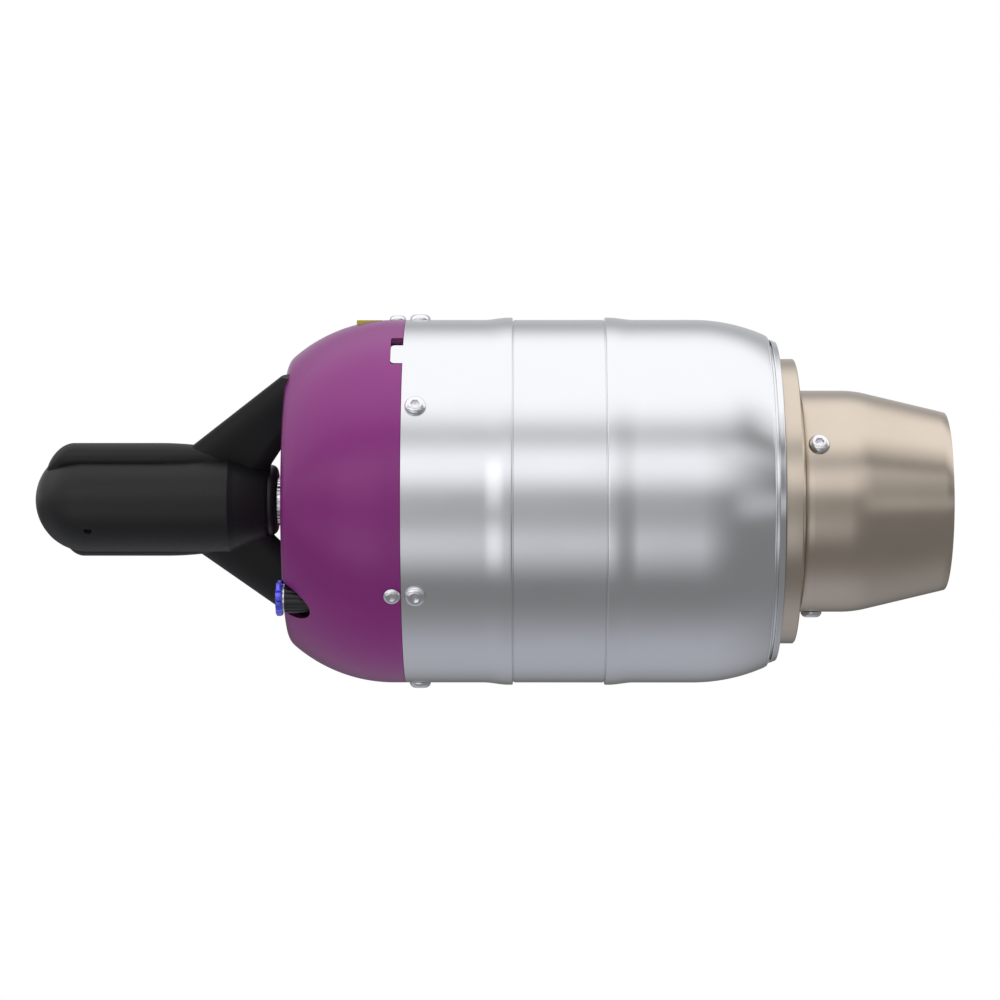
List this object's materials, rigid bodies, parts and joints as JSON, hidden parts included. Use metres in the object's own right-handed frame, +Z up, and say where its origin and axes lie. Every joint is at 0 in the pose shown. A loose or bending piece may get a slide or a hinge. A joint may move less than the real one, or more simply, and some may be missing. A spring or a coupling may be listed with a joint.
{
  "type": "model turbojet engine",
  "caption": "Small turbojet with a starter pod on struts, domed intake cover, drawn steel case with strap seat, and a conical exhaust nozzle.",
  "frame": {"origin": "on the engine axis, at the middle of the strap seat round the case", "axes": "+X along the engine axis towards the exhaust, +Z up, with the power socket at the top"},
  "size_m": [0.2456, 0.0992, 0.101],
  "materials": {
    "black_moulding": "satin black moulded nylon",
    "purple_anodised": "turned aluminium, anodised purple",
    "case_steel": "drawn stainless sheet, satin",
    "screw_steel": "stainless screws, polished heads",
    "tan_steel": "stainless steel heat-tinted to straw",
    "drum_steel": "turned steel",
    "aluminium_plain": "machined aluminium",
    "rubber_black": "rubber ring",
    "fitting_black": "black moulded fitting",
    "collar_blue": "blue moulded collar",
    "socket_olive": "olive moulded socket",
    "board_green": "glass-fibre circuit board",
    "brass": "turned brass",
    "nickel_alloy": "cast nickel alloy",
    "liner_steel": "heat-tinted steel sheet",
    "bearing_steel": "hardened ground steel",
    "ceramic": "ceramic balls",
    "cage_brown": "fibre cage",
    "hose_black": "fuel tube",
    "igniter_ceramic": "ceramic igniter"
  },
  "bodies": {
    "engine": {"starter_housing": "black_moulding", "starter_motor": "screw_steel", "intake_cover": "purple_anodised", "cover_screws": "screw_steel", "fuel_fitting": "fitting_black", "grab_ring": "screw_steel", "power_socket": "socket_olive", "compressor_shroud": "aluminium_plain", "control_board": "board_green", "board_posts": "brass", "fuel_pump": "aluminium_plain", "fuel_valves": "aluminium_plain", "fuel_lines": "hose_black", "outer_case": "case_steel", "case_screws": "screw_steel", "diffuser": "aluminium_plain", "front_bearing_outer": "bearing_steel", "rear_bearing_outer": "bearing_steel", "preload_spring": "bearing_steel", "shaft_tunnel": "aluminium_plain", "outer_liner": "liner_steel", "inner_liner": "liner_steel", "liner_front_plate": "liner_steel", "vaporiser_tubes": "liner_steel", "fuel_manifold": "brass", "igniter": "igniter_ceramic", "guide_vanes": "nickel_alloy", "turbine_housing": "tan_steel", "exhaust_nozzle": "tan_steel", "nozzle_screws": "screw_steel", "exhaust_cone": "nickel_alloy"},
    "rotor": {"compressor_wheel": "aluminium_plain", "compressor_nut": "aluminium_plain", "shaft": "bearing_steel", "front_spacer": "bearing_steel", "front_bearing_inner": "bearing_steel", "rear_bearing_inner": "bearing_steel", "turbine_wheel": "nickel_alloy", "turbine_spacer": "bearing_steel", "turbine_nut": "bearing_steel"},
    "front_balls": {"front_bearing_balls": "ceramic", "front_bearing_cage": "cage_brown"},
    "rear_balls": {"rear_bearing_balls": "ceramic", "rear_bearing_cage": "cage_brown"},
    "starter_rotor": {"motor_shaft": "bearing_steel"},
    "clutch": {"clutch_drum": "drum_steel", "clutch_ring": "rubber_black"},
    "collar": {"release_collar": "collar_blue"}
  },
  "joints": [
    {"name": "rotor_spin", "type": "hinge", "parent": "engine", "child": "rotor", "pos_m": [0, 0, 0], "axis": [1, 0, 0], "continuous": true},
    {"name": "front_ball_orbit", "type": "hinge", "parent": "engine", "child": "front_balls", "pos_m": [0, 0, 0], "axis": [1, 0, 0], "continuous": true},
    {"name": "rear_ball_orbit", "type": "hinge", "parent": "engine", "child": "rear_balls", "pos_m": [0, 0, 0], "axis": [1, 0, 0], "continuous": true},
    {"name": "starter_spin", "type": "hinge", "parent": "engine", "child": "starter_rotor", "pos_m": [0, 0, 0], "axis": [1, 0, 0], "continuous": true},
    {"name": "clutch_slide", "type": "slide", "parent": "starter_rotor", "child": "clutch", "axis": [1, 0, 0], "range_m": [0, 0.0018], "stiffness_N_per_m": 60, "springref_m": -0.001},
    {"name": "collar_push", "type": "slide", "parent": "engine", "child": "collar", "axis": [1, 0, 0], "range_m": [0, 0.0008], "stiffness_N_per_m": 400, "springref_m": -0.0005}
  ],
  "couplings": [
    {"joint": "front_ball_orbit", "follows": "rotor_spin", "ratio": 0.3889},
    {"joint": "rear_ball_orbit", "follows": "rotor_spin", "ratio": 0.3889}
  ]
}
